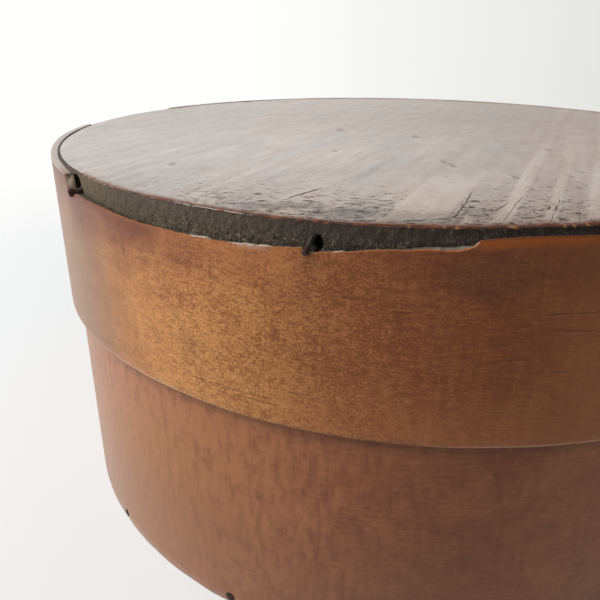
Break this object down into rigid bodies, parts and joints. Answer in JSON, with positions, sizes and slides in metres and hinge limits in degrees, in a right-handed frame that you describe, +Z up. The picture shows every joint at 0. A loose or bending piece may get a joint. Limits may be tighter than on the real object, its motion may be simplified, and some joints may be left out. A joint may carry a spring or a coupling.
{
  "type": "bentwood pantry box",
  "caption": "Round bentwood pantry box with a lift-off lid: bent wooden hoops with lapped ends, nailed round flat boards, the worn lid's rim partly broken away.",
  "frame": {"origin": "middle of the underside of the base", "axes": "+Z up, the front with the lid's broken rim towards -Y"},
  "size_m": [0.2162, 0.216, 0.1025],
  "materials": {
    "body_wood": "aged varnish, satin, brown",
    "lid_wood": "aged varnish, satin, golden brown",
    "base_wood": "bare, aged",
    "top_wood": "dark worn varnish, scratched",
    "iron": "dark, rusted"
  },
  "bodies": {
    "box": {"body_hoop": "body_wood", "base_board": "base_wood", "base_brads": "iron", "body_lap_tacks": "iron"},
    "lid": {"lid_hoop": "lid_wood", "lid_board": "top_wood", "lid_brads": "iron", "bare_brads": "iron", "lid_lap_tacks": "iron"}
  },
  "joints": [
    {"name": "lid_lift", "type": "slide", "parent": "box", "child": "lid", "axis": [0, 0, 1], "range_m": [0, 0.12]}
  ]
}
